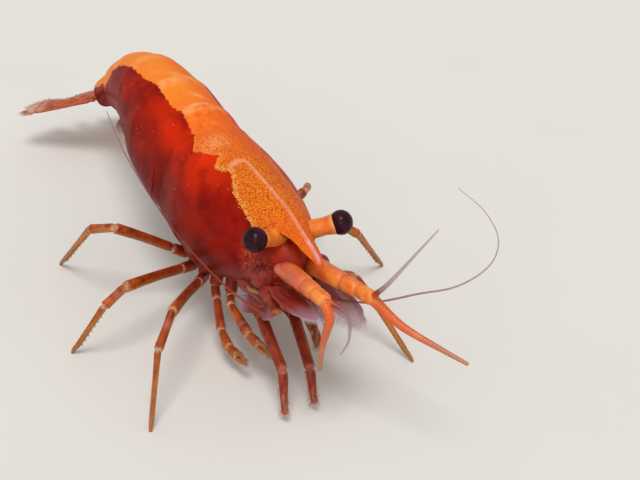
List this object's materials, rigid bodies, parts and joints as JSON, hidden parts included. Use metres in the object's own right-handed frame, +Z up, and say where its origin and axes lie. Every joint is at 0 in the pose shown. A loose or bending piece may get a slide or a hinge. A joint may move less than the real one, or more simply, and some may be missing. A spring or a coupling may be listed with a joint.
{
  "type": "aquarium shrimp",
  "caption": "Still life-size model of a red dwarf aquarium shrimp with a golden back, standing on its walking legs with feelers out and tail fan spread.",
  "frame": {"origin": "middle of the footprint of the whole animal, on the floor it stands on", "axes": "+Z up, the head towards -Y and the tail towards +Y, the animal's left side towards +X"},
  "size_m": [0.0186, 0.0316, 0.0093],
  "materials": {
    "back_shell": "glossy moist shell with a golden maze pattern",
    "flank_shell": "glossy moist deep red shell with fine pale specks",
    "limb": "translucent horn-like orange brown with pale joints",
    "feeler": "translucent bright orange",
    "fin": "thin clear blade, orange at the root and whitish at the tip",
    "eye": "polished black with a purple cast"
  },
  "bodies": {
    "root": {"carapace": "back_shell", "abdomen_1": "flank_shell", "abdomen_2": "flank_shell", "abdomen_3": "flank_shell", "abdomen_4": "flank_shell", "abdomen_5": "flank_shell", "abdomen_6": "flank_shell", "telson": "fin", "uropod_inner_right": "fin", "uropod_outer_right": "fin", "uropod_inner_left": "fin", "uropod_outer_left": "fin", "rostrum": "back_shell", "head": "flank_shell", "mouthparts": "flank_shell", "eyestalk_right": "feeler", "eye_right": "eye", "antennule_right": "feeler", "antennule_flagellum_outer_right": "feeler", "antennule_flagellum_inner_right": "feeler", "antenna_right": "feeler", "antennal_scale_right": "fin", "antenna_flagellum_near_right": "feeler", "antenna_flagellum_far_right": "feeler", "eyestalk_left": "feeler", "eye_left": "eye", "antennule_left": "feeler", "antennule_flagellum_outer_left": "feeler", "antennule_flagellum_inner_left": "feeler", "antenna_left": "feeler", "antennal_scale_left": "fin", "antenna_flagellum_near_left": "feeler", "antenna_flagellum_far_left": "feeler", "maxilliped_right": "limb", "maxilliped_left": "limb", "leg_1_right": "limb", "leg_1_left": "limb", "leg_2_right": "limb", "leg_2_left": "limb", "leg_3_right": "limb", "leg_3_left": "limb", "leg_4_right": "limb", "leg_4_left": "limb", "leg_5_right": "limb", "leg_5_left": "limb", "pleopod_1_right": "fin", "pleopod_1_left": "fin", "pleopod_2_right": "fin", "pleopod_2_left": "fin", "pleopod_3_right": "fin", "pleopod_3_left": "fin", "pleopod_4_right": "fin", "pleopod_4_left": "fin", "pleopod_5_right": "fin", "pleopod_5_left": "fin"}
  },
  "joints": []
}
